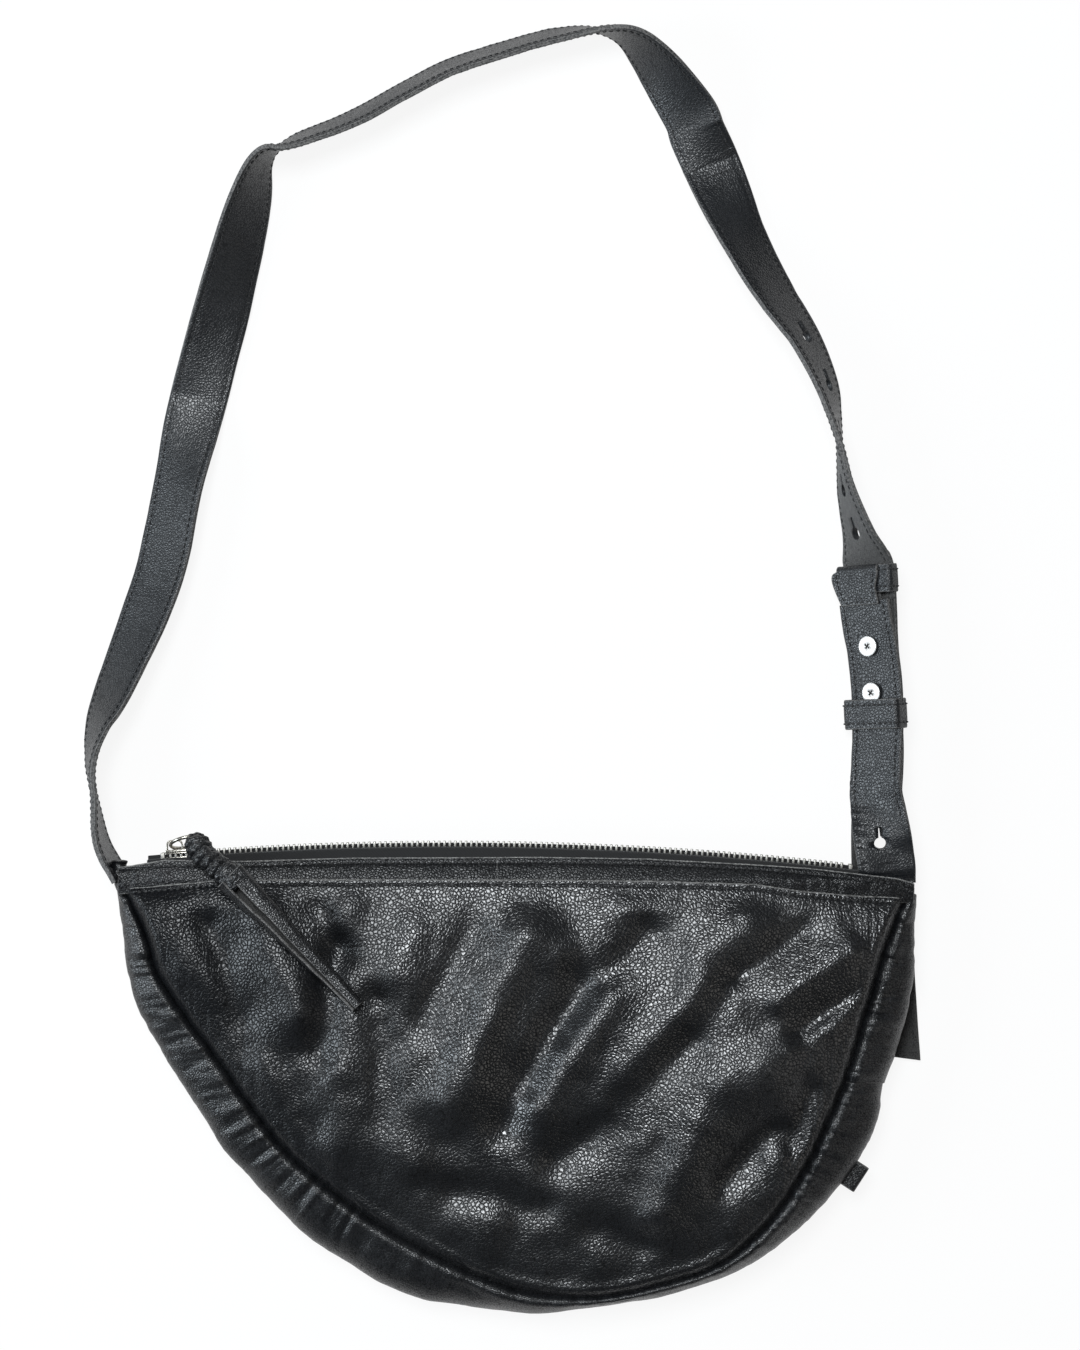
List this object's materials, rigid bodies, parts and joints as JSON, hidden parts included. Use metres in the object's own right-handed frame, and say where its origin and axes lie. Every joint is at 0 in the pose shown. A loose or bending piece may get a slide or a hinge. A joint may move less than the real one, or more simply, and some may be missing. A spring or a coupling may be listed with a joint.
{
  "type": "half moon bag",
  "caption": "Half moon shoulder bag in black pebbled leather with a top zip, a leather pull and a keyhole strap buckled on two studs.",
  "frame": {"origin": "on the flat underside of the back panel, below the middle of the bag's width", "axes": "+Z out of the front panel, +Y from the round bottom edge towards the zip and the strap, +X along the mouth towards the buckled side"},
  "size_m": [0.4233, 0.6523, 0.0524],
  "materials": {
    "grain_leather": "pebbled, semi-matt",
    "strap_leather": "pebbled, semi-matt",
    "suede": "rough flesh side",
    "lining": "plain weave",
    "zip_tape": "herringbone weave",
    "zip_metal": "polished",
    "stud_metal": "satin"
  },
  "bodies": {
    "bag": {"front_panel": "grain_leather", "back_panel": "grain_leather", "gusset": "grain_leather", "gusset_end": "grain_leather", "front_lining": "lining", "back_lining": "lining", "gusset_lining": "lining", "front_band_left": "grain_leather", "front_band_right": "grain_leather", "back_band_left": "grain_leather", "back_band_right": "grain_leather", "front_tape_ends": "zip_tape", "back_tape_ends": "zip_tape", "front_teeth_ends": "zip_metal", "back_teeth_ends": "zip_metal", "zip_stops": "zip_metal", "strap_root_left": "grain_leather", "strap_root_right": "strap_leather", "side_tab": "grain_leather"},
    "front_lip": {"front_band": "grain_leather", "front_tape": "zip_tape", "front_teeth": "zip_metal"},
    "back_lip": {"back_band": "grain_leather", "back_tape": "zip_tape", "back_teeth": "zip_metal"},
    "slider": {"slider_top": "zip_metal", "slider_underplate": "zip_metal", "slider_bridge": "zip_metal"},
    "ring": {"pull_ring": "zip_metal"},
    "pull": {"pull_gather": "grain_leather", "pull_strip": "grain_leather"},
    "strap": {"strap_main_face": "strap_leather", "strap_main_backing": "strap_leather", "strap_keyhole_face": "strap_leather", "strap_keyhole_backing": "suede", "anchor_face": "strap_leather", "anchor_backing": "suede", "anchor_fold": "strap_leather", "fixed_keeper": "strap_leather", "stud_discs": "stud_metal", "stud_knobs": "stud_metal"},
    "keeper": {"sliding_keeper": "strap_leather"}
  },
  "joints": [
    {"name": "mouth_open", "type": "hinge", "parent": "bag", "child": "front_lip", "pos_m": [-0.03301, 0.10953, 0.033], "axis": [1, 0, 0], "range_deg": [0, 60]},
    {"name": "back_lip_open", "type": "hinge", "parent": "bag", "child": "back_lip", "pos_m": [-0.03301, 0.10953, 0.0012], "axis": [-1, 0, 0], "range_deg": [0, 33]},
    {"name": "slider_travel", "type": "hinge", "parent": "bag", "child": "slider", "pos_m": [-0.03301, -1.6534, 0.02], "axis": [0, 0, -1], "range_deg": [0, 9.57]},
    {"name": "ring_swing", "type": "hinge", "parent": "slider", "child": "ring", "pos_m": [-0.17352, 0.12582, 0.02], "axis": [-0.1628, 0.3008, 0.9397], "range_deg": [0, 54]},
    {"name": "pull_turn", "type": "hinge", "parent": "ring", "child": "pull", "pos_m": [-0.1591, 0.13362, 0.02], "axis": [-0.1628, 0.3008, 0.9397], "range_deg": [-5, 15]},
    {"name": "strap_swing", "type": "hinge", "parent": "bag", "child": "strap", "pos_m": [0.184, 0.12231, 0.0214], "axis": [1, 0, 0], "range_deg": [0, 90]},
    {"name": "keeper_slide", "type": "slide", "parent": "strap", "child": "keeper", "axis": [0.0339, -0.9994, 0], "range_m": [0, 0.022]}
  ],
  "couplings": [
    {"joint": "back_lip_open", "follows": "mouth_open", "ratio": 0.55}
  ]
}
